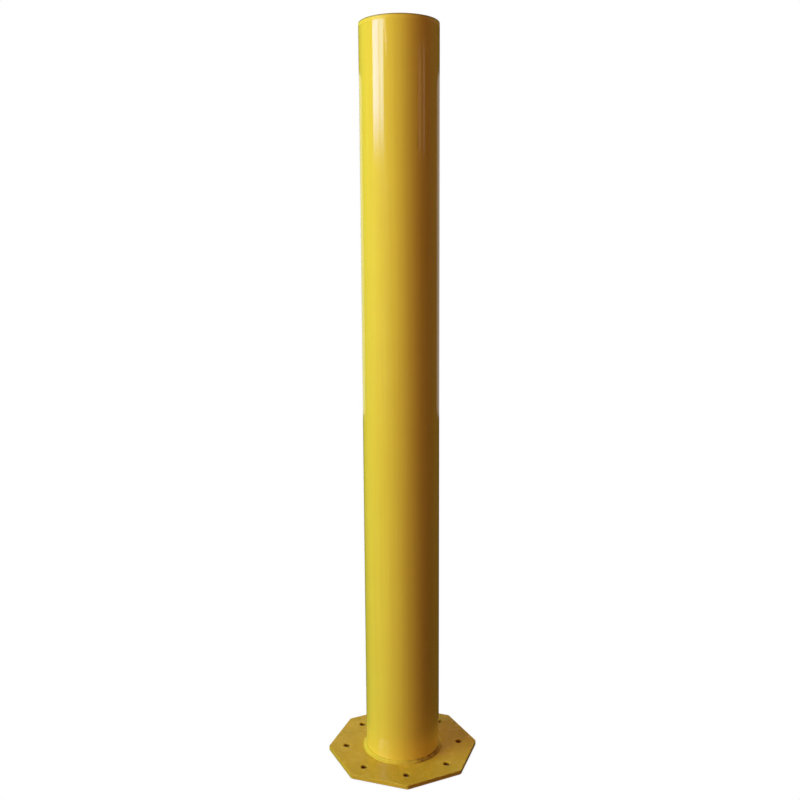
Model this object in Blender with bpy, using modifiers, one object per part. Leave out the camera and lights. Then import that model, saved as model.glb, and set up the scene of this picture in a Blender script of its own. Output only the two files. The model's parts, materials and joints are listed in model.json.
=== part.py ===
"""Steel safety bollard: a round steel post welded upright on an octagonal base plate.

A flat disc welded to the pipe's upper end closes the post.
Units are metres and +Z is up. The origin is on the ground, at the centre of the base plate's underside.
The plate's flats face +X, -X, +Y and -Y, and one bolt hole lies behind each of its eight corners.
Pieces that touch on the real bollard stand GAP apart, so that each one stays a solid of its own.
"""

import math

import bmesh
import bpy
from mathutils import Matrix, Vector

INCH = 0.0254
GAP = 0.0003

# Driving dimensions
OVERALL_HEIGHT = 43 * INCH
POST_DIAMETER = 4.5 * INCH
POST_WALL = 0.237 * INCH
PLATE_ACROSS_FLATS = 8.5 * INCH
PLATE_THICKNESS = 0.25 * INCH
CAP_DIAMETER = 4.25 * INCH
CAP_THICKNESS = 0.25 * INCH
BOLT_CIRCLE = 7 * INCH
BOLT_HOLE = 13 / 32 * INCH
BOLT_HOLES = 8

# Welds
FILLET_LEG = 0.2 * INCH
FILLET_CROWN = 0.0007
FILLET_TOE = 0.0004
FILLET_RUNS = 3
FIRST_TIE_IN = math.radians(-44)

# Edges of the cut plate and of the dressed top
PLATE_CORNER_RADIUS = 0.0018
PLATE_EDGE_RADIUS = 0.0006
TOP_EDGE_RADIUS = 0.0010

# Facets
ROUND_STEPS = 96
HOLE_STEPS = 24
CROWN_STEPS = 5
EDGE_STEPS = 3
PLATE_EDGE_STEPS = 2
SHARP_ANGLE = math.radians(30)
SQUARE_EDGE_ANGLE = math.radians(80)
MERGE_DISTANCE = 0.00005
CUTTER_LENGTH = 3 * PLATE_THICKNESS

# Enamel: colour and roughness
POST_ENAMEL = ((0.80, 0.57, 0.045), 0.10)
CAP_ENAMEL = ((0.80, 0.57, 0.045), 0.12)
CAP_WELD_ENAMEL = ((0.78, 0.55, 0.042), 0.37)
PLATE_ENAMEL = ((0.62, 0.38, 0.026), 0.27)
BASE_WELD_ENAMEL = ((0.70, 0.46, 0.034), 0.13)

POST_RADIUS = POST_DIAMETER / 2
PLATE_TOP = PLATE_THICKNESS
POST_FOOT = PLATE_TOP + GAP
CAP_FOOT = OVERALL_HEIGHT - CAP_THICKNESS
POST_TOP = CAP_FOOT - GAP


def clear_scene():
    for obj in list(bpy.data.objects):
        bpy.data.objects.remove(obj, do_unlink=True)


def new_collection(name):
    collection = bpy.data.collections.new(name)
    bpy.context.scene.collection.children.link(collection)
    return collection


def paint(name, colour, roughness):
    """Gloss enamel over steel."""
    material = bpy.data.materials.new(name)
    material.use_nodes = True
    shader = material.node_tree.nodes["Principled BSDF"]
    shader.inputs["Base Color"].default_value = (*colour, 1.0)
    shader.inputs["Roughness"].default_value = roughness
    shader.inputs["Metallic"].default_value = 0.0
    return material


def add_object(name, mesh, collection, material=None):
    obj = bpy.data.objects.new(name, mesh)
    collection.objects.link(obj)
    if material is not None:
        mesh.materials.append(material)
    return obj


def shade_round(mesh):
    mesh.shade_smooth()
    mesh.set_sharp_from_angle(angle=SHARP_ANGLE)


def quarter_round(centre, radius, start, steps=EDGE_STEPS):
    """Points (radius, height) of a quarter circle that turns clockwise from the angle start."""
    angles = [start - math.pi / 2 * i / steps for i in range(steps + 1)]
    return [(centre[0] + radius * math.cos(a), centre[1] + radius * math.sin(a)) for a in angles]


def turned(name, outline, closed, collection, material):
    """A solid of revolution. The outline is a list of (radius, height) that runs down the outer side."""
    count = len(outline)
    edges = [(i, i + 1) for i in range(count - 1)]
    if closed:
        edges.append((count - 1, 0))
    mesh = bpy.data.meshes.new(name)
    mesh.from_pydata([(radius, 0.0, height) for radius, height in outline], edges, [])
    obj = add_object(name, mesh, collection, material)
    screw = obj.modifiers.new("turn", "SCREW")
    screw.steps = ROUND_STEPS
    screw.render_steps = ROUND_STEPS
    screw.use_merge_vertices = True
    screw.merge_threshold = MERGE_DISTANCE
    screw.use_smooth_shade = True
    return obj


def make_post_tube(collection, material):
    """Steel pipe with square ends."""
    bore = POST_RADIUS - POST_WALL
    outline = [(POST_RADIUS, POST_TOP), (POST_RADIUS, POST_FOOT), (bore, POST_FOOT), (bore, POST_TOP)]
    return turned("post_tube", outline, True, collection, material)


def make_top_cap(collection, material):
    """Flat steel disc that lies on the pipe's end and closes it, a little narrower than the pipe."""
    radius = CAP_DIAMETER / 2
    outline = [(0.0, OVERALL_HEIGHT), (radius, OVERALL_HEIGHT), (radius, CAP_FOOT), (0.0, CAP_FOOT)]
    return turned("top_cap", outline, False, collection, material)


def make_cap_weld(collection, material):
    """Weld metal that fills the step between the pipe's end and the disc's edge, ground flush with both."""
    inner = CAP_DIAMETER / 2 + GAP
    eased = (POST_RADIUS - TOP_EDGE_RADIUS, OVERALL_HEIGHT - TOP_EDGE_RADIUS)
    outline = [(inner, OVERALL_HEIGHT)]
    outline += quarter_round(eased, TOP_EDGE_RADIUS, math.pi / 2)
    outline += [(POST_RADIUS, CAP_FOOT), (inner, CAP_FOOT)]
    return turned("cap_weld", outline, True, collection, material)


def hole_angle(index):
    return math.tau * (index + 0.5) / BOLT_HOLES


def make_hole_cutter(collection):
    """Eight upright pins on the bolt circle, which the plate is cut by."""
    bm = bmesh.new()
    for index in range(BOLT_HOLES):
        angle = hole_angle(index)
        centre = Vector((math.cos(angle), math.sin(angle), 0.0)) * BOLT_CIRCLE / 2
        centre.z = PLATE_THICKNESS / 2
        bmesh.ops.create_cone(
            bm,
            cap_ends=True,
            segments=HOLE_STEPS,
            radius1=BOLT_HOLE / 2,
            radius2=BOLT_HOLE / 2,
            depth=CUTTER_LENGTH,
            matrix=Matrix.Translation(centre),
        )
    mesh = bpy.data.meshes.new("bolt_hole_cutter")
    bm.to_mesh(mesh)
    bm.free()
    cutter = add_object("bolt_hole_cutter", mesh, collection)
    cutter.hide_render = True
    cutter.display_type = "WIRE"
    return cutter


def ease_edges(bm, edges, radius, steps):
    bmesh.ops.bevel(bm, geom=edges, offset=radius, segments=steps, profile=0.5, affect="EDGES")


def make_base_plate(collection, cutters, material):
    """Octagon cut from steel plate, with eased edges and eight bolt holes."""
    across_corners = PLATE_ACROSS_FLATS / math.cos(math.pi / 8)
    bm = bmesh.new()
    bmesh.ops.create_cone(
        bm,
        cap_ends=True,
        segments=8,
        radius1=across_corners / 2,
        radius2=across_corners / 2,
        depth=PLATE_THICKNESS,
        matrix=Matrix.Translation((0, 0, PLATE_THICKNESS / 2)) @ Matrix.Rotation(math.pi / 8, 4, "Z"),
    )
    corners = [e for e in bm.edges if abs(e.verts[0].co.z - e.verts[1].co.z) > PLATE_THICKNESS / 2]
    ease_edges(bm, corners, PLATE_CORNER_RADIUS, EDGE_STEPS)
    rims = [e for e in bm.edges if e.calc_face_angle() > SQUARE_EDGE_ANGLE]
    ease_edges(bm, rims, PLATE_EDGE_RADIUS, PLATE_EDGE_STEPS)
    mesh = bpy.data.meshes.new("base_plate")
    bm.to_mesh(mesh)
    bm.free()
    plate = add_object("base_plate", mesh, collection, material)
    holes = plate.modifiers.new("bolt_holes", "BOOLEAN")
    holes.operation = "DIFFERENCE"
    holes.solver = "EXACT"
    holes.object = make_hole_cutter(cutters)
    return plate


def fillet_section():
    """Section of the foot weld (radius, height): a corner, two blunt toes and a convex face between."""
    root = (POST_RADIUS + GAP, PLATE_TOP + GAP)
    low_toe = Vector((root[0] + FILLET_LEG, root[1] + FILLET_TOE))
    high_toe = Vector((root[0] + FILLET_TOE, root[1] + FILLET_LEG))
    bulge = Vector((1.0, 1.0)).normalized() * FILLET_CROWN
    section = [root, (low_toe.x, root[1])]
    for step in range(CROWN_STEPS + 1):
        share = step / CROWN_STEPS
        point = low_toe.lerp(high_toe, share) + bulge * math.sin(math.pi * share)
        section.append((point.x, point.y))
    section.append((root[0], high_toe.y))
    return section


def make_base_weld_run(number, collection, material):
    """One run of the fillet weld round the post's foot, swept from one tie-in to the next."""
    sweep = math.tau / FILLET_RUNS
    clearance = GAP / POST_RADIUS
    start = FIRST_TIE_IN + sweep * number + clearance / 2
    bm = bmesh.new()
    verts = [bm.verts.new((radius, 0.0, height)) for radius, height in fillet_section()]
    bm.faces.new(verts)
    bmesh.ops.rotate(bm, cent=(0, 0, 0), matrix=Matrix.Rotation(start, 3, "Z"), verts=bm.verts)
    bmesh.ops.spin(
        bm,
        geom=bm.verts[:] + bm.edges[:] + bm.faces[:],
        cent=(0, 0, 0),
        axis=(0, 0, 1),
        angle=sweep - clearance,
        steps=ROUND_STEPS // FILLET_RUNS,
        use_merge=False,
        use_duplicate=False,
    )
    bmesh.ops.recalc_face_normals(bm, faces=bm.faces)
    name = f"base_weld_run_{number + 1}"
    mesh = bpy.data.meshes.new(name)
    bm.to_mesh(mesh)
    bm.free()
    shade_round(mesh)
    return add_object(name, mesh, collection, material)


def main():
    clear_scene()
    bollard = new_collection("steel_safety_bollard")
    cutters = new_collection("cutters")
    make_post_tube(bollard, paint("post_paint", *POST_ENAMEL))
    make_top_cap(bollard, paint("cap_paint", *CAP_ENAMEL))
    make_cap_weld(bollard, paint("cap_weld_paint", *CAP_WELD_ENAMEL))
    make_base_plate(bollard, cutters, paint("plate_paint", *PLATE_ENAMEL))
    weld_paint = paint("base_weld_paint", *BASE_WELD_ENAMEL)
    for number in range(FILLET_RUNS):
        make_base_weld_run(number, bollard, weld_paint)


main()
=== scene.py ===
"""Looks of the steel safety bollard: its painted steel, its weld beads, and the studio that it stands in.

Units are metres and +Z is up, as in the frame. Azimuths are in degrees about Z, counted from the way the
camera stands, and a positive one is to the camera's right.
"""

import json
import math

import bmesh
import bpy
from mathutils import Matrix, Vector, noise


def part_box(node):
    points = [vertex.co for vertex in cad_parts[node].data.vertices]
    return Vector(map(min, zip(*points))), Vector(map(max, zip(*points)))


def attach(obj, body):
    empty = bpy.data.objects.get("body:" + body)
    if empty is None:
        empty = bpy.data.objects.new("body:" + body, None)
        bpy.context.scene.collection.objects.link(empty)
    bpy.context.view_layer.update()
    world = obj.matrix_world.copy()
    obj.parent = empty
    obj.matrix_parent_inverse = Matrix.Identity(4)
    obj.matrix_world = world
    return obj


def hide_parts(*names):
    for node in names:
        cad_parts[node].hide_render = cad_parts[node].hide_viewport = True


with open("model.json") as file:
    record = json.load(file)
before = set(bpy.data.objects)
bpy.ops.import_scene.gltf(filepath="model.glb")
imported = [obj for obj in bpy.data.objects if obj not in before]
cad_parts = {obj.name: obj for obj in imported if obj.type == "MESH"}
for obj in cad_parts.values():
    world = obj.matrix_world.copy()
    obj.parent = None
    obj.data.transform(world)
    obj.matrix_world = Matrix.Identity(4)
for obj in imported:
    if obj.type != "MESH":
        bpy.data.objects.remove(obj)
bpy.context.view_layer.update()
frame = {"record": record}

INCH = 0.0254
MM = 0.001

# Sizes taken from the frame
plate_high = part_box("base_plate")[1]
disc_low, disc_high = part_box("top_cap")
PLATE_TOP = plate_high.z
PLATE_APOTHEM = plate_high.x
POST_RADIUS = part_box("post_tube")[1].x
DISC_RADIUS = disc_high.x
DISC_FOOT = disc_low.z
HEIGHT = disc_high.z
HOLE_CENTRES = [
    ((low[0] + high[0]) / 2, (low[1] + high[1]) / 2)
    for low, high in (opening["box_m"] for opening in frame["record"]["physics"]["openings"])
]

# Sizes that the frame's boxes don't show
POST_WALL = 0.237 * INCH
BOLT_HOLE = 13 / 32 * INCH
CORNER_RADIUS = 1.8 * MM
EASED_EDGE = 0.7 * MM
TOP_EDGE_RADIUS = 1.1 * MM
EMBED = 0.4 * MM

# Welds
TIE_INS = [math.radians(-44 + 120 * run) for run in range(3)]
BEAD_LEG = 5.0 * MM
BEAD_RISE = 4.1 * MM
BEAD_CROWN = 0.15 * MM
BEAD_LIP = 0.55 * MM
BEAD_RIPPLE = 1.5 * MM
LAP = math.radians(1.6)
BEAD_LIP_PLACES = (0.18, 0.82)
BEAD_LIP_WIDTH = 0.13
BEAD_RIPPLE_RISE = 0.04 * MM
BEAD_SLOW_RISE = 0.22 * MM
BEAD_SLOW_LENGTH = 14 * MM
BEAD_END_RISE = 0.25 * MM
LUMP_REACH = math.radians(6)
LUMP_LIFT = 0.25 * MM
LUMP_RISE = 1.3 * MM
LUMP_SIZE = 5 * MM
# Painted shade on the foot weld: dark painted shadows of the lumps round the first tie-in, and brown
# painted shade along the stretch on the post's shaded side
LUMP_SHADOW_REACH = math.radians(7)
LUMP_SHADOW_SIZE = 2.6 * MM
BEAD_SHADE_SHARE = 0.7
BEAD_SHADE_PATCH_SIZE = 5 * MM
BEAD_SHADE_CENTRE = math.radians(20)
BEAD_SHADE_REACH = math.radians(44)

# Nibs in the post's enamel: angle about Z, height, half-width, half-height and rise
PAINT_NIBS = [
    (math.radians(-72.9), 0.606, 1.2 * MM, 2.2 * MM, 0.22 * MM),
    (math.radians(-77.5), 0.540, 1.2 * MM, 2.6 * MM, 0.22 * MM),
    (math.radians(-30.9), 0.524, 1.5 * MM, 3.6 * MM, 0.40 * MM),
]
SPATTER_HEIGHT = 0.14

# Waves of the post's enamel and of the ground weld: rise and length
LONG_WAVE = (0.05 * MM, 160 * MM)
SHORT_WAVE = (0.012 * MM, 45 * MM)
GROUND_WAVE = (0.10 * MM, 20 * MM)
GROUND_DEPTH = 0.05 * MM

# Facets
POST_STEPS = 480
POST_ROWS = 150
NIB_ROWS = 16
DISC_STEPS = 128
CAP_WELD_STEPS = 288
HOLE_STEPS = 48
BEAD_STEPS = 480
BEAD_SECTION_POINTS = 41
EDGE_STEPS = 5
EASE_STEPS = 3
SHARP_ANGLE = math.radians(35)
BEAD_SHARP_ANGLE = math.radians(50)
SQUARE_EDGE_ANGLE = math.radians(60)
MERGE_DISTANCE = 1e-7

# Camera
CAMERA_AZIMUTH = 19.05
CAMERA_DISTANCE = 1.3199
CAMERA_HEIGHT = 0.7718
CAMERA_PITCH = -9.16
CAMERA_YAW = -0.063
CAMERA_ROLL = -0.315
CAMERA_LENS = 40.31

# Studio
STUDIO_RADIUS = 3.0
FLOOR_RADIUS = 12
BACKDROP_RADIUS = 14
CONTACT_REACH = 0.05
CONTACT_FULL_WHITE = 0.6
ROOM_COLOUR = (0.02, 0.015, 0.01, 1)


# ---------------------------------------------------------------- meshes


def lay(name, mesh, material, node):
    """Puts a finished mesh in the scene in place of a CAD node."""
    obj = bpy.data.objects.new(name, mesh)
    bpy.context.scene.collection.objects.link(obj)
    mesh.materials.append(material)
    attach(obj, "root")
    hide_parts(node)
    return obj


def swept(name, section, angles, full_turn, offset, sharp=SHARP_ANGLE):
    """A solid swept about Z.

    offset(angle, radius, height) is what to add to a section point at that angle.
    """
    count = len(section)
    verts = []
    for angle in angles:
        for radius, height in section:
            outward, upward = offset(angle, radius, height)
            reach = radius + outward
            verts.append((reach * math.cos(angle), reach * math.sin(angle), height + upward))
    faces = []
    for ring in range(len(angles) if full_turn else len(angles) - 1):
        here, there = ring * count, (ring + 1) % len(angles) * count
        for i in range(count):
            j = (i + 1) % count
            faces.append((here + i, here + j, there + j, there + i))
    if not full_turn:
        last = (len(angles) - 1) * count
        faces += [tuple(range(count)), tuple(range(last, last + count))]
    mesh = bpy.data.meshes.new(name)
    mesh.from_pydata(verts, [], faces)
    bm = bmesh.new()
    bm.from_mesh(mesh)
    bmesh.ops.remove_doubles(bm, verts=bm.verts, dist=MERGE_DISTANCE)
    bmesh.ops.recalc_face_normals(bm, faces=bm.faces)
    bm.to_mesh(mesh)
    bm.free()
    mesh.shade_smooth()
    mesh.set_sharp_from_angle(angle=sharp)
    return mesh


def turn_angles(steps):
    return [math.tau * step / steps for step in range(steps)]


def levels(low, high, count):
    return [low + (high - low) * i / (count - 1) for i in range(count)]


def waviness(angle, height, wavelength, seed=0.0):
    """Smooth noise on the post's surface, from -1 to 1."""
    around = Vector((math.cos(angle), math.sin(angle))) * POST_RADIUS / wavelength
    return noise.noise(Vector((around.x, around.y, height / wavelength + seed)))


# ---------------------------------------------------------------- paint


class Paint:
    """A gloss enamel material, put together node by node."""

    def __init__(self, name):
        self.material = bpy.data.materials.new(name)
        self.material.use_nodes = True
        self.tree = self.material.node_tree
        self.shader = self.tree.nodes["Principled BSDF"]
        self.place = self.tree.nodes.new("ShaderNodeTexCoord").outputs["Object"]

    def node(self, kind, inputs=(), **settings):
        made = self.tree.nodes.new(kind)
        for key, value in settings.items():
            setattr(made, key, value)
        for key, value in dict(inputs).items():
            if isinstance(value, bpy.types.NodeSocket):
                self.tree.links.new(value, made.inputs[key])
            else:
                made.inputs[key].default_value = value
        return made

    def stretched(self, scale):
        mapping = self.node("ShaderNodeMapping", {"Vector": self.place, "Scale": scale})
        return mapping.outputs["Vector"]

    def grain(self, size, detail=2.0, stretch=(1, 1, 1)):
        """Noise from 0 to 1 whose features are about this size in metres."""
        where = self.stretched(stretch)
        made = self.node("ShaderNodeTexNoise", {"Vector": where, "Scale": 1 / size, "Detail": detail})
        return made.outputs["Fac"]

    def spread(self, value, low, high, to_low=0.0, to_high=1.0):
        """Maps low..high to to_low..to_high, and clamps."""
        made = self.node(
            "ShaderNodeMapRange",
            {"Value": value, "From Min": low, "From Max": high, "To Min": to_low, "To Max": to_high},
        )
        return made.outputs["Result"]

    def cloud(self, size, detail=4):
        """Soft patches from 0 to 1."""
        return self.spread(self.grain(size, detail), 0.35, 0.65)

    def roughness(self, size, low, high, detail=3, stretch=(1, 1, 1)):
        """Roughness that drifts between low and high."""
        return self.spread(self.grain(size, detail, stretch), 0.3, 0.7, low, high)

    def combine(self, a, b, operation="MULTIPLY"):
        return self.node("ShaderNodeMath", {0: a, 1: b}, operation=operation).outputs["Value"]

    def blend(self, share, a, b):
        """Colour a, or b where the share is 1. The numbers are the colour sockets of the node."""
        made = self.node("ShaderNodeMix", {0: share, 6: a, 7: b}, data_type="RGBA")
        return made.outputs[2]

    def height(self):
        return self.node("ShaderNodeSeparateXYZ", {"Vector": self.place}).outputs["Z"]

    def upward(self):
        """How far the surface faces up, 1 on a flat top."""
        facing = self.node("ShaderNodeNewGeometry").outputs["Normal"]
        return self.node("ShaderNodeSeparateXYZ", {"Vector": facing}).outputs["Z"]

    def specks(self, cell, radius, share):
        """Round specks: 1 inside a speck. Only this share of the cells holds one."""
        made = self.node("ShaderNodeTexVoronoi", {"Vector": self.place, "Scale": 1 / cell})
        inside = self.spread(made.outputs["Distance"], radius / cell * 0.6, radius / cell, 1.0, 0.0)
        parts = self.node("ShaderNodeSeparateColor", {"Color": made.outputs["Color"]})
        chosen = self.combine(parts.outputs["Red"], share, "LESS_THAN")
        return self.combine(inside, chosen)

    def bump(self, height, depth, under=None):
        inputs = {"Height": height, "Strength": 1.0, "Distance": depth}
        if under is not None:
            inputs["Normal"] = under
        return self.node("ShaderNodeBump", inputs).outputs["Normal"]

    def wire(self, **sockets):
        for name, value in sockets.items():
            socket = self.shader.inputs[name.replace("_", " ")]
            if isinstance(value, bpy.types.NodeSocket):
                self.tree.links.new(value, socket)
            else:
                socket.default_value = value


YELLOW = (0.80, 0.57, 0.045, 1)
DEEP_YELLOW = (0.74, 0.50, 0.036, 1)
# The post's yellow made darker and more orange: painted shade for the flat plate
PLATE_SHADED_YELLOW = (0.67, 0.41, 0.028, 1)
PLATE_SHADED_DEEP_YELLOW = (0.58, 0.345, 0.022, 1)
BEAD_YELLOW = (0.72, 0.53, 0.038, 1)
GRIME = (0.10, 0.07, 0.03, 1)
# Painted shade for the post's rounded upper edge
RIM_PAINTED_SHADE = (0.12, 0.08, 0.02, 1)
# Brown painted shade for the foot weld's stretch on the post's shaded side
BEAD_SHADE_BROWN = (0.28, 0.125, 0.016, 1)
# Darker still: painted shadows of the lumps at the foot weld's first tie-in
LUMP_SHADOW_COLOUR = (0.06, 0.022, 0.006, 1)
# Painted shade for the deeper part of the bolt holes' walls, in two mottled tones
HOLE_SHADE_BROWN = (0.13, 0.040, 0.009, 1)
HOLE_SHADE_OCHRE = (0.30, 0.12, 0.016, 1)


def post_paint():
    """Gloss enamel over mill streaks, with a few specks of dirt and more of them near the foot."""
    paint = Paint("post_enamel")
    streak = paint.spread(paint.grain(0.005, 3, (1, 1, 0.015)), 0.3, 0.7)
    tone = paint.combine(paint.combine(paint.cloud(0.09, 3), 0.25), paint.combine(streak, 0.5), "ADD")
    colour = paint.blend(tone, YELLOW, DEEP_YELLOW)
    colour = paint.blend(paint.specks(0.040, 0.0006, 0.35), colour, GRIME)
    low_down = paint.spread(paint.height(), 0.6 * SPATTER_HEIGHT, SPATTER_HEIGHT, 1.0, 0.0)
    spatter = paint.combine(paint.specks(0.013, 0.00075, 0.45), low_down)
    colour = paint.blend(spatter, colour, GRIME)
    rough = paint.roughness(0.03, 0.06, 0.10, 4, (1, 1, 0.15))
    mill = paint.bump(paint.grain(0.0035, 2, (1, 1, 0.010)), 0.000016)
    peel = paint.bump(paint.grain(0.0022, 2), 0.000010, mill)
    paint.wire(Base_Color=colour, Roughness=rough, Normal=peel)
    return paint.material


def plate_paint():
    """Duller, cloudy enamel over hot-rolled plate, in a darker, more orange copy of the post's yellow
    that is painted shade on the flat plate.
    """
    paint = Paint("plate_enamel")
    colour = paint.blend(paint.combine(paint.cloud(0.035), 0.7), PLATE_SHADED_YELLOW, PLATE_SHADED_DEEP_YELLOW)
    colour = paint.blend(paint.specks(0.012, 0.0005, 0.4), colour, GRIME)
    rough = paint.roughness(0.02, 0.20, 0.34, 4)
    peel = paint.bump(paint.grain(0.0028, 3), 0.00003)
    paint.wire(Base_Color=colour, Roughness=rough, Normal=peel)
    return paint.material


def hole_paint():
    """The torn wall of a punched hole: the plate's yellow near its top, and brown painted shade deeper in
    the hole.
    """
    paint = Paint("hole_wall")
    shade_mottle = paint.spread(paint.grain(0.0018, 3, (1, 1, 0.3)), 0.4, 0.7)
    # More than about two millimetres below the top, the wall is painted shade
    unshaded_top = paint.spread(paint.height(), PLATE_TOP - 3.4 * MM, PLATE_TOP - 1.8 * MM)
    colour = paint.blend(unshaded_top, paint.blend(shade_mottle, HOLE_SHADE_BROWN, HOLE_SHADE_OCHRE), PLATE_SHADED_YELLOW)
    torn = paint.bump(paint.grain(0.0012, 3, (1, 1, 0.2)), 0.00008)
    paint.wire(Base_Color=colour, Roughness=0.5, Specular_IOR_Level=0.05, Normal=torn)
    return paint.material


def edge_paint():
    """Enamel that has drawn thick and glossy over the plate's eased edges, with a painted highlight: the
    edges are painted lighter, towards the bead's yellow.
    """
    paint = Paint("edge_enamel_painted_highlight")
    # The lighter colour on the edges is a painted highlight
    colour = paint.blend(paint.combine(paint.cloud(0.02), 0.7), BEAD_YELLOW, PLATE_SHADED_YELLOW)
    rough = paint.roughness(0.01, 0.12, 0.20)
    peel = paint.bump(paint.grain(0.0028, 3), 0.00002)
    paint.wire(Base_Color=colour, Roughness=rough, Normal=peel)
    return paint.material


def weld_paint(name):
    """Enamel on the foot weld. The mesh says where to paint shade on it: brown painted shade along the
    stretch on the post's shaded side, and darker painted shadows of the lumps round the first tie-in.
    """
    paint = Paint(name)
    colour = paint.blend(paint.combine(paint.cloud(0.012), 0.6), BEAD_YELLOW, DEEP_YELLOW)
    painted_bead_shade = paint.node("ShaderNodeAttribute", attribute_name="painted_bead_shade").outputs["Fac"]
    # Lower values of the attribute paint brown shade; the top values paint the lumps' dark shadows
    colour = paint.blend(paint.spread(painted_bead_shade, 0.0, 0.8), colour, BEAD_SHADE_BROWN)
    colour = paint.blend(paint.spread(painted_bead_shade, 0.8, 1.0), colour, LUMP_SHADOW_COLOUR)
    rough = paint.roughness(0.006, 0.14, 0.22)
    peel = paint.bump(paint.grain(0.0012, 3), 0.00001)
    paint.wire(Base_Color=colour, Roughness=rough, Specular_IOR_Level=0.05, Normal=peel)
    return paint.material


def dressed_paint():
    """Enamel over ground weld metal: dull, with painted shade along the post's upper edge."""
    paint = Paint("dressed_weld_enamel")
    colour = paint.blend(paint.combine(paint.cloud(0.012), 0.6), YELLOW, DEEP_YELLOW)
    # Painted shade on the rounded upper edge, kept off the flat top
    near_edge = paint.spread(paint.height(), HEIGHT - 2.2 * MM, HEIGHT - 0.9 * MM, 0.0, 0.9)
    aside = paint.spread(paint.upward(), 0.85, 0.97, 1.0, 0.0)
    colour = paint.blend(paint.combine(near_edge, aside), colour, RIM_PAINTED_SHADE)
    rough = paint.roughness(0.008, 0.32, 0.42)
    ground = paint.bump(paint.grain(0.003, 4, (1, 1, 3)), 0.00008)
    paint.wire(Base_Color=colour, Roughness=rough, Specular_IOR_Level=0.12, Normal=ground)
    return paint.material


# ---------------------------------------------------------------- pieces


def nib_rise(angle, height):
    rise = 0.0
    for place, middle, half_width, half_height, top in PAINT_NIBS:
        sideways = math.remainder(angle - place, math.tau) * POST_RADIUS / half_width
        upward = (height - middle) / half_height
        rise += top * math.exp(-(sideways**2) - upward**2)
    return rise


def post_offset(angle, radius, height):
    """Rolling waves a few hundredths of a millimetre deep and the nibs, on the outer face only."""
    if radius < POST_RADIUS - POST_WALL / 2:
        return 0.0, 0.0
    wave = LONG_WAVE[0] * waviness(angle, height, LONG_WAVE[1])
    wave += SHORT_WAVE[0] * waviness(angle, height, SHORT_WAVE[1], 7)
    return wave + nib_rise(angle, height), 0.0


def post_rows():
    """Heights of the outer face's rows, from the top down. They are closer together across a nib."""
    rows = levels(PLATE_TOP, DISC_FOOT, POST_ROWS)
    for _, middle, _, half_height, _ in PAINT_NIBS:
        rows += levels(middle - 2.5 * half_height, middle + 2.5 * half_height, NIB_ROWS)
    return sorted(rows, reverse=True)


def build_post():
    bore = POST_RADIUS - POST_WALL
    section = [(POST_RADIUS, z) for z in post_rows()] + [(bore, PLATE_TOP), (bore, DISC_FOOT)]
    mesh = swept("post_skin", section, turn_angles(POST_STEPS), True, post_offset)
    return lay("post_skin", mesh, post_paint(), "post_tube")


def build_disc():
    rim = DISC_RADIUS + EMBED
    section = [(0.0, HEIGHT), (rim, HEIGHT), (rim, DISC_FOOT), (0.0, DISC_FOOT)]
    mesh = swept("top_disc", section, turn_angles(DISC_STEPS), True, lambda *_: (0.0, 0.0))
    return lay("top_disc", mesh, post_paint(), "top_cap")


def dressed_offset(angle, radius, height):
    """Shallow unevenness left by the grinder, on the outer face only."""
    if radius < DISC_RADIUS + EMBED:
        return 0.0, 0.0
    return GROUND_WAVE[0] * waviness(angle, height, GROUND_WAVE[1], 3) - GROUND_DEPTH, 0.0


def build_cap_weld():
    top = HEIGHT - GROUND_DEPTH
    centre = POST_RADIUS - TOP_EDGE_RADIUS, top - TOP_EDGE_RADIUS
    section = [(DISC_RADIUS, top)]
    for step in range(EDGE_STEPS + 1):
        turn = math.pi / 2 * (1 - step / EDGE_STEPS)
        across, up = TOP_EDGE_RADIUS * math.cos(turn), TOP_EDGE_RADIUS * math.sin(turn)
        section.append((centre[0] + across, centre[1] + up))
    section += [(POST_RADIUS, z) for z in levels(top - 2 * MM, DISC_FOOT - EMBED, EDGE_STEPS)]
    section.append((DISC_RADIUS, DISC_FOOT - EMBED))
    mesh = swept("cap_weld_ground", section, turn_angles(CAP_WELD_STEPS), True, dressed_offset)
    return lay("cap_weld_ground", mesh, dressed_paint(), "cap_weld")


def plate_blank():
    """The octagon with its corners rounded, before its holes are cut."""
    bm = bmesh.new()
    bmesh.ops.create_cone(
        bm,
        cap_ends=True,
        segments=8,
        radius1=PLATE_APOTHEM / math.cos(math.pi / 8),
        radius2=PLATE_APOTHEM / math.cos(math.pi / 8),
        depth=PLATE_TOP,
        matrix=Matrix.Translation((0, 0, PLATE_TOP / 2)) @ Matrix.Rotation(math.pi / 8, 4, "Z"),
    )
    corners = [e for e in bm.edges if abs(e.verts[0].co.z - e.verts[1].co.z) > PLATE_TOP / 2]
    bmesh.ops.bevel(
        bm, geom=corners, offset=CORNER_RADIUS, segments=EDGE_STEPS, profile=0.5, affect="EDGES"
    )
    mesh = bpy.data.meshes.new("base_plate_skin")
    bm.to_mesh(mesh)
    bm.free()
    return mesh


def hole_pins():
    """The eight upright pins that the plate is cut by."""
    bm = bmesh.new()
    for x, y in HOLE_CENTRES:
        bmesh.ops.create_cone(
            bm,
            cap_ends=True,
            segments=HOLE_STEPS,
            radius1=BOLT_HOLE / 2,
            radius2=BOLT_HOLE / 2,
            depth=4 * PLATE_TOP,
            matrix=Matrix.Translation((x, y, PLATE_TOP / 2)),
        )
    mesh = bpy.data.meshes.new("hole_pins")
    bm.to_mesh(mesh)
    bm.free()
    pins = bpy.data.objects.new("hole_pins", mesh)
    bpy.context.scene.collection.objects.link(pins)
    return pins


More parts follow.
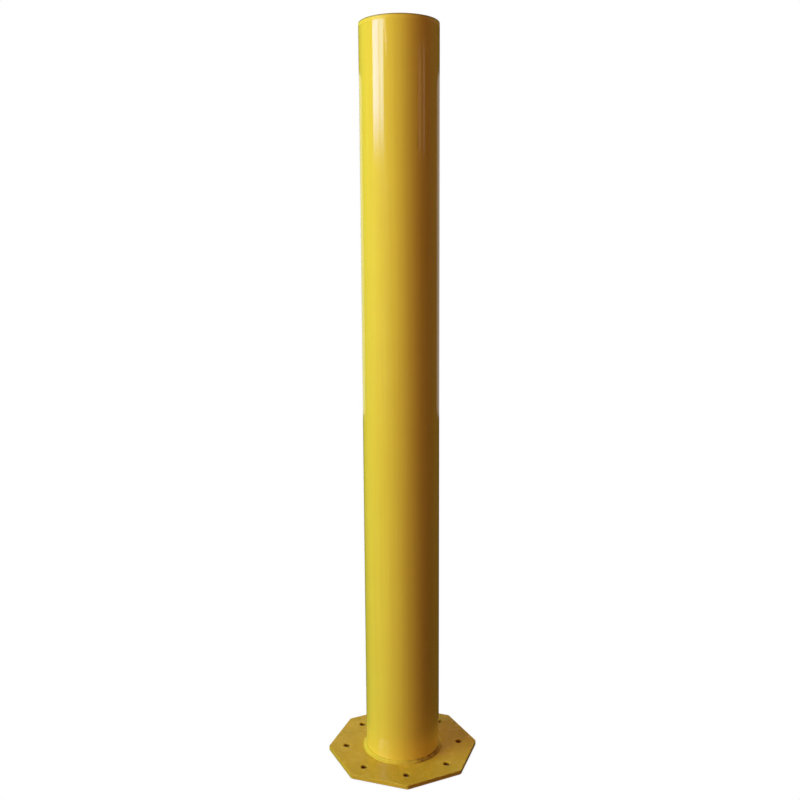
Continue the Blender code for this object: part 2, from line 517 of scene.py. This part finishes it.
def build_plate():
    plate = bpy.data.objects.new("base_plate_skin", plate_blank())
    bpy.context.scene.collection.objects.link(plate)
    pins = hole_pins()
    cut = plate.modifiers.new("holes", "BOOLEAN")
    cut.operation = "DIFFERENCE"
    cut.solver = "EXACT"
    cut.object = pins
    ease = plate.modifiers.new("eased_edges", "BEVEL")
    ease.width = EASED_EDGE
    ease.segments = EASE_STEPS
    ease.limit_method = "ANGLE"
    ease.angle_limit = SQUARE_EDGE_ANGLE
    plate.data.shade_smooth()
    even = plate.modifiers.new("even_normals", "WEIGHTED_NORMAL")
    even.keep_sharp = True
    bpy.context.view_layer.update()
    finished = bpy.data.meshes.new_from_object(plate.evaluated_get(bpy.context.evaluated_depsgraph_get()))
    for obj in (plate, pins):
        bpy.data.objects.remove(obj)
    finished.name = "base_plate_skin"
    skin = lay("base_plate_skin", finished, plate_paint(), "base_plate")
    finished.materials.append(hole_paint())
    finished.materials.append(edge_paint())
    for face in finished.polygons:
        # Slot 1 holds the holes' painted shade, slot 2 the edges' painted highlight
        face.material_index = 1 if in_hole(face) else 2 if on_upper_edge(face) else 0
    return skin


def in_hole(face):
    """True on the wall of a bolt hole, between its eased edges."""
    near = min(math.hypot(face.center.x - x, face.center.y - y) for x, y in HOLE_CENTRES)
    return near < 0.55 * BOLT_HOLE and abs(face.normal.z) < 0.5


def on_upper_edge(face):
    """True on the eased upper edges of the outline and the holes, which are neither upright nor flat."""
    return 0.15 < face.normal.z < 0.98


def bead_section():
    """Section of the fillet: a nearly flat face between a raised toe and a raised upper edge."""
    section = [(POST_RADIUS - EMBED, PLATE_TOP - EMBED), (POST_RADIUS + BEAD_LEG, PLATE_TOP - EMBED)]
    slope = math.hypot(BEAD_LEG, BEAD_RISE)
    for share in levels(0.0, 1.0, BEAD_SECTION_POINTS):
        lips = sum(math.exp(-(((share - place) / BEAD_LIP_WIDTH) ** 2)) for place in BEAD_LIP_PLACES)
        proud = BEAD_CROWN * math.sin(math.pi * share) + BEAD_LIP * lips
        across = BEAD_LEG * (1 - share) + proud * BEAD_RISE / slope
        up = BEAD_RISE * share + proud * BEAD_LEG / slope
        section.append((POST_RADIUS + across, PLATE_TOP + up))
    section.append((POST_RADIUS - EMBED, section[-1][1]))
    return section


def nearness(angle, place, reach):
    """1 at a place round the post, fading to 0 within a few times the reach."""
    return math.exp(-((math.remainder(angle - place, math.tau) / reach) ** 2))


def tie_in_nearness(angle):
    return max(nearness(angle, place, LUMP_REACH) for place in TIE_INS)


def bead_offset(start, angle, radius, height):
    """Ripples, slow unevenness, lumps round each tie-in, a full start and a sunken end."""
    across, up = radius - POST_RADIUS, height - PLATE_TOP
    if across < 0 or up < 0:
        return 0.0, 0.0
    share = min(max(math.atan2(up / BEAD_RISE, across / BEAD_LEG) / (math.pi / 2), 0.0), 1.0)
    travel = angle * POST_RADIUS / BEAD_RIPPLE + 1.2 * (share - 0.5) ** 2
    ripple = BEAD_RIPPLE_RISE * math.cos(math.tau * travel)
    slow = BEAD_SLOW_RISE * waviness(angle, 0.0, BEAD_SLOW_LENGTH, 11)
    lump = tie_in_nearness(angle) * (LUMP_LIFT + LUMP_RISE * waviness(angle, height, LUMP_SIZE, 23))
    ends = nearness(angle, start, 2 * LAP) - nearness(angle, start + math.tau / 3, 2 * LAP)
    swell = math.sin(math.pi * share) * (ripple + slow + lump + BEAD_END_RISE * ends)
    return swell * math.cos(share * math.pi / 2), swell * math.sin(share * math.pi / 2)


def painted_bead_shade(point):
    """How much painted shade the bead gets: dark painted shadows of the lumps round the first tie-in, and
    brown painted shade over a stretch on the post's shaded side that starts before it.
    """
    angle = math.atan2(point.y, point.x)
    # Dark painted shadows of the lumps, in patches round the first tie-in
    lump_shadows = min(max(5 * noise.noise(point / LUMP_SHADOW_SIZE) - 0.25, 0.0), 1.0)
    lump_shadows *= nearness(angle, TIE_INS[0], LUMP_SHADOW_REACH)
    # Brown painted shade on the stretch of bead that lies on the post's shaded side
    stretch = BEAD_SHADE_SHARE * nearness(angle, TIE_INS[0] + BEAD_SHADE_CENTRE, BEAD_SHADE_REACH)
    stretch *= 0.9 + 0.5 * noise.noise(point / BEAD_SHADE_PATCH_SIZE)
    return max(lump_shadows, stretch)


def build_bead(number, material):
    """One weld run, which laps a little over the next one."""
    name = f"base_weld_bead_{number + 1}"
    start = TIE_INS[number]
    angles = levels(start - LAP, start + math.tau / 3 + LAP, BEAD_STEPS)

    def unevenness(angle, radius, height):
        return bead_offset(start, angle, radius, height)

    mesh = swept(name, bead_section(), angles, False, unevenness, BEAD_SHARP_ANGLE)
    # The bead's painted shade, stored on its points
    darkness = mesh.attributes.new("painted_bead_shade", "FLOAT", "POINT")
    for vertex, value in zip(mesh.vertices, darkness.data):
        value.value = painted_bead_shade(vertex.co)
    return lay(name, mesh, material, f"base_weld_run_{number + 1}")


# ---------------------------------------------------------------- studio


def toward(azimuth):
    """Level unit vector from the bollard towards an azimuth, which is 0 at the camera."""
    turn = math.radians(CAMERA_AZIMUTH + azimuth)
    return Vector((math.sin(turn), -math.cos(turn), 0))


def panel(name, azimuth, width, bottom, top, radiance, colour, seen, fade=0.0, tilt=0.0):
    """An upright soft light that faces the post. Radiance is what a mirror would show of it.

    seen tells whether it lights the paint ("diffuse") or shows in its gloss ("glossy").
    Its lowest part, of the height fade, dims towards the bottom.
    tilt turns it in its own plane, in degrees.
    """
    away = toward(azimuth)
    place = away * STUDIO_RADIUS + Vector((0, 0, (bottom + top) / 2))
    light = area_light(name, place, away, width, top - bottom, radiance, colour, seen)
    in_plane = Matrix.Rotation(math.radians(tilt), 3, "Z")
    light.rotation_euler = (light.rotation_euler.to_matrix() @ in_plane).to_euler()
    if fade:
        fade_lower_part(light.data, fade / (top - bottom))
    return light


def area_light(name, place, back, width, height, radiance, colour, seen):
    """A rectangular light that turns its back in the direction back."""
    data = bpy.data.lights.new(name, "AREA")
    data.shape = "RECTANGLE"
    data.size, data.size_y = width, height
    data.energy = radiance * math.pi * width * height
    data.color = colour
    light = bpy.data.objects.new(name, data)
    light.location = place
    light.rotation_euler = (-back).to_track_quat("-Z", "Y").to_euler()
    light.visible_camera = False
    light.visible_diffuse = seen == "diffuse"
    light.visible_glossy = seen == "glossy"
    bpy.context.scene.collection.objects.link(light)
    return light


def fade_lower_part(data, share):
    """Dims this share of a light's height towards its bottom edge."""
    data.use_nodes = True
    tree = data.node_tree
    spot = tree.nodes.new("ShaderNodeNewGeometry").outputs["Parametric"]
    parts = tree.nodes.new("ShaderNodeSeparateXYZ")
    ramp = tree.nodes.new("ShaderNodeMapRange")
    ramp.interpolation_type = "SMOOTHSTEP"
    ramp.inputs["From Max"].default_value = share
    tree.links.new(spot, parts.inputs[0])
    tree.links.new(parts.outputs["Y"], ramp.inputs["Value"])
    tree.links.new(ramp.outputs["Result"], tree.nodes["Emission"].inputs["Strength"])


def glow(name):
    """White that needs no light, with a painted contact shadow: only where the bollard stands close above
    is it a little darker.
    """
    material = bpy.data.materials.new(name)
    material.use_nodes = True
    tree = material.node_tree
    shader = tree.nodes["Principled BSDF"]
    shader.inputs["Base Color"].default_value = (0, 0, 0, 1)
    shader.inputs["Roughness"].default_value = 1.0
    shader.inputs["Specular IOR Level"].default_value = 0.0
    shader.inputs["Emission Strength"].default_value = 1.0
    # Painted contact shadow, from how closely the bollard stands overhead
    near = tree.nodes.new("ShaderNodeAmbientOcclusion")
    near.samples = 8
    near.inputs["Distance"].default_value = CONTACT_REACH
    shade = tree.nodes.new("ShaderNodeMapRange")
    shade.inputs["From Max"].default_value = CONTACT_FULL_WHITE
    tree.links.new(near.outputs["AO"], shade.inputs["Value"])
    tree.links.new(shade.outputs["Result"], shader.inputs["Emission Color"])
    return material


def build_stage():
    """A round floor and a dome round it, which neither light the bollard nor show in its gloss."""
    bm = bmesh.new()
    bmesh.ops.create_circle(bm, cap_ends=True, segments=96, radius=FLOOR_RADIUS)
    floor_mesh = bpy.data.meshes.new("floor")
    bm.to_mesh(floor_mesh)
    bm.free()
    bm = bmesh.new()
    bmesh.ops.create_icosphere(bm, subdivisions=4, radius=BACKDROP_RADIUS)
    bmesh.ops.reverse_faces(bm, faces=bm.faces)
    dome_mesh = bpy.data.meshes.new("backdrop")
    bm.to_mesh(dome_mesh)
    bm.free()
    floor = bpy.data.objects.new("floor", floor_mesh)
    backdrop = bpy.data.objects.new("backdrop", dome_mesh)
    white = glow("studio_white")
    for obj in (floor, backdrop):
        obj.data.materials.append(white)
        bpy.context.scene.collection.objects.link(obj)
        obj.visible_diffuse = False
        obj.visible_glossy = False
        obj.visible_shadow = False


def build_lights():
    """Daylight at the left with its window, dim warm light elsewhere, and thin glints at the right.

    Each panel's numbers are its azimuth, width, bottom, top and radiance, then its colour.
    """
    panel("key", -64, 2.0, 1.4, 3.2, 9.2, (0.77, 0.94, 0.85), "diffuse")
    panel("low_left", -80, 2.0, 0.0, 1.4, 5.0, (0.02, 0.66, 1.0), "diffuse")
    panel("low_front_left", -45, 1.4, 0.0, 1.4, 7.5, (0.98, 0.68, 0.96), "diffuse")
    panel("warm_front", 0, 2.0, 1.4, 3.2, 1.3, (1.0, 0.12, 0.45), "diffuse")
    panel("low_right", 110, 2.0, 0.2, 2.2, 1.9, (1.0, 0.82, 1.0), "diffuse")
    panel("rear", 180, 3.0, 0.2, 2.2, 2.7, (1.0, 0.92, 0.3), "diffuse")
    panel("window_pane", -69.0, 1.08, 1.15, 3.2, 11.5, (0.40, 0.47, 1.0), "glossy", 0.35)
    panel("window_side_pane", -50.8, 0.66, 1.15, 3.2, 9.0, (0.40, 0.62, 1.0), "glossy", 0.35)
    panel("lamp", -38.5, 0.56, 1.735, 1.775, 9.0, (0.8, 0.85, 0.9), "glossy", 0.0, -13.5)
    panel("right_strip", 59, 0.36, 1.24, 1.70, 0.55, (1, 1, 1), "glossy")
    panel("far_right_strip", 73, 0.26, 1.24, 1.70, 0.80, (1, 1, 1), "glossy")
    panel("rim_right", 155, 2.4, 0.0, 1.6, 0.45, (1, 1, 1), "glossy")
    panel("rim_left", -155, 2.4, 0.0, 1.6, 0.75, (1, 1, 1), "glossy")
    up = Vector((0, 0, 1))
    area_light("ceiling", 3.4 * up, up, 4.0, 4.0, 4.0, (1.0, 0.85, 0.45), "glossy")
    area_light("top_fill", 1.7 * up, up, 0.3, 0.3, 4.5, (1.0, 0.92, 0.8), "diffuse")
    world = bpy.data.worlds.new("room")
    world.use_nodes = True
    background = world.node_tree.nodes["Background"]
    background.inputs["Color"].default_value = ROOM_COLOUR
    background.inputs["Strength"].default_value = 1.0
    bpy.context.scene.world = world
    bpy.context.scene.view_settings.view_transform = "Standard"


def build_camera():
    """A camera at about seven tenths of the post's height, tipped slightly down."""
    pitch, yaw, roll = (math.radians(a) for a in (CAMERA_PITCH, CAMERA_YAW, CAMERA_ROLL))
    ahead = Vector((math.sin(yaw) * math.cos(pitch), math.cos(yaw) * math.cos(pitch), math.sin(pitch)))
    right = Vector((math.cos(yaw), -math.sin(yaw), 0))
    up = right.cross(ahead)
    tilted_right = math.cos(roll) * right + math.sin(roll) * up
    tilted_up = math.cos(roll) * up - math.sin(roll) * right
    pose = Matrix((tilted_right, tilted_up, -ahead)).transposed().to_4x4()
    pose.translation = Vector((0, -CAMERA_DISTANCE, CAMERA_HEIGHT))
    data = bpy.data.cameras.new("camera")
    data.lens = CAMERA_LENS
    camera = bpy.data.objects.new("camera", data)
    camera.matrix_world = Matrix.Rotation(math.radians(CAMERA_AZIMUTH), 4, "Z") @ pose
    bpy.context.scene.collection.objects.link(camera)
    bpy.context.scene.camera = camera


build_camera()
build_post()
build_disc()
build_cap_weld()
build_plate()
bead_enamel = weld_paint("bead_enamel")
for run in range(len(TIE_INS)):
    build_bead(run, bead_enamel)
build_stage()
build_lights()
